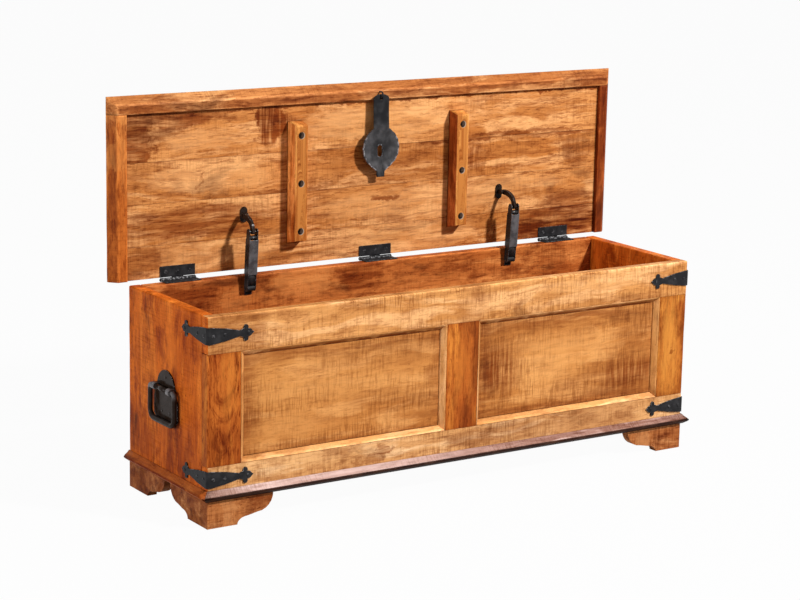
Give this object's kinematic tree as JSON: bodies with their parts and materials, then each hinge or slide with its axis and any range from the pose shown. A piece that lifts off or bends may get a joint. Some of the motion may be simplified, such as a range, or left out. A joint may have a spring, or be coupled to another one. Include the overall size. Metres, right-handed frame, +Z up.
{
  "type": "storage chest",
  "caption": "Long wooden storage chest with a framed front, bracket feet, iron corner straps, drop handles and a hinged cap lid standing open on stays, with a hanging hasp.",
  "frame": {"origin": "on the floor, at the centre of the chest's footprint with its lid open", "axes": "+X along the chest's length to the right of someone facing its front, +Y from front to back, +Z up"},
  "size_m": [1.097, 0.3222, 0.6978],
  "materials": {
    "wood_front": "oiled honey-brown, saw-marked",
    "wood_stile": "oiled amber brown",
    "wood_panel": "oiled golden brown, saw-marked",
    "wood_side": "oiled red brown",
    "wood_back": "oiled brown",
    "wood_moulding": "oiled plum brown",
    "wood_foot": "oiled brown",
    "wood_lid": "oiled honey brown with dark heartwood",
    "wood_rim": "oiled amber brown",
    "black_iron": "hammered black",
    "bronze_iron": "bronze black, rubbed",
    "steel": "dull"
  },
  "bodies": {
    "chest": {"front_top_rail": "wood_front", "front_bottom_rail": "wood_front", "front_left_stile": "wood_stile", "front_centre_stile": "wood_stile", "front_right_stile": "wood_stile", "front_left_panel": "wood_panel", "front_right_panel": "wood_panel", "left_panel_moulding": "wood_front", "right_panel_moulding": "wood_front", "left_side": "wood_side", "right_side": "wood_side", "back_board": "wood_back", "bottom_board": "wood_back", "base_moulding_front": "wood_moulding", "base_moulding_left": "wood_moulding", "base_moulding_right": "wood_moulding", "foot_front_left": "wood_foot", "foot_front_right": "wood_foot", "foot_back_left": "wood_foot", "foot_back_right": "wood_foot", "strap_top_left": "black_iron", "strap_top_right": "black_iron", "strap_bottom_left": "black_iron", "strap_bottom_right": "black_iron", "hinge_left_lower_leaf": "black_iron", "hinge_centre_lower_leaf": "black_iron", "hinge_right_lower_leaf": "black_iron", "handle_left_plate": "bronze_iron", "handle_right_plate": "bronze_iron", "stay_left_bracket": "black_iron", "stay_right_bracket": "black_iron"},
    "lid": {"lid_plank_1": "wood_lid", "lid_plank_2": "wood_lid", "lid_plank_3": "wood_lid", "lid_plank_4": "wood_lid", "lid_rim_front": "wood_rim", "lid_rim_left": "wood_rim", "lid_rim_right": "wood_rim", "lid_batten_left": "wood_rim", "lid_batten_right": "wood_rim", "batten_screw_left_front": "steel", "batten_screw_left_middle": "steel", "batten_screw_left_back": "steel", "batten_screw_right_front": "steel", "batten_screw_right_middle": "steel", "batten_screw_right_back": "steel", "hinge_left_upper_leaf": "black_iron", "hinge_centre_upper_leaf": "black_iron", "hinge_right_upper_leaf": "black_iron", "stay_left_foot": "black_iron", "stay_right_foot": "black_iron", "hasp_staple": "black_iron"},
    "hasp": {"hasp": "black_iron"},
    "left_bail": {"handle_left_bail": "bronze_iron"},
    "right_bail": {"handle_right_bail": "bronze_iron"},
    "left_stay_channel": {"stay_left_channel": "bronze_iron"},
    "right_stay_channel": {"stay_right_channel": "bronze_iron"},
    "left_stay_link": {"stay_left_link": "black_iron"},
    "right_stay_link": {"stay_right_link": "black_iron"}
  },
  "joints": [
    {"name": "lid_hinge", "type": "hinge", "parent": "chest", "child": "lid", "pos_m": [0, 0.14485, 0.3683], "axis": [1, 0, 0], "range_deg": [0, 90]},
    {"name": "hasp_pivot", "type": "hinge", "parent": "lid", "child": "hasp", "pos_m": [0, 0.13315, 0.67505], "axis": [1, 0, 0], "range_deg": [-112.5, 0]},
    {"name": "left_handle_swing", "type": "hinge", "parent": "chest", "child": "left_bail", "pos_m": [-0.5245, -0.00415, 0.213], "axis": [0, 1, 0], "range_deg": [0, 95]},
    {"name": "right_handle_swing", "type": "hinge", "parent": "chest", "child": "right_bail", "pos_m": [0.5245, -0.00415, 0.213], "axis": [0, -1, 0], "range_deg": [0, 95]},
    {"name": "left_stay_pivot", "type": "hinge", "parent": "chest", "child": "left_stay_channel", "pos_m": [-0.288, 0.11085, 0.3445], "axis": [1, 0, 0], "range_deg": [0, 90]},
    {"name": "right_stay_pivot", "type": "hinge", "parent": "chest", "child": "right_stay_channel", "pos_m": [0.288, 0.11085, 0.3445], "axis": [1, 0, 0], "range_deg": [0, 90]},
    {"name": "left_stay_lid_pivot", "type": "hinge", "parent": "lid", "child": "left_stay_link", "pos_m": [-0.288, 0.13685, 0.4723], "axis": [1, 0, 0], "range_deg": [-90, 0]},
    {"name": "right_stay_lid_pivot", "type": "hinge", "parent": "lid", "child": "right_stay_link", "pos_m": [0.288, 0.13685, 0.4723], "axis": [1, 0, 0], "range_deg": [-90, 0]}
  ],
  "couplings": [
    {"joint": "hasp_pivot", "follows": "lid_hinge", "ratio": -1.25},
    {"joint": "left_stay_pivot", "follows": "lid_hinge", "ratio": 1},
    {"joint": "right_stay_pivot", "follows": "lid_hinge", "ratio": 1},
    {"joint": "left_stay_lid_pivot", "follows": "lid_hinge", "ratio": -1},
    {"joint": "right_stay_lid_pivot", "follows": "lid_hinge", "ratio": -1}
  ]
}
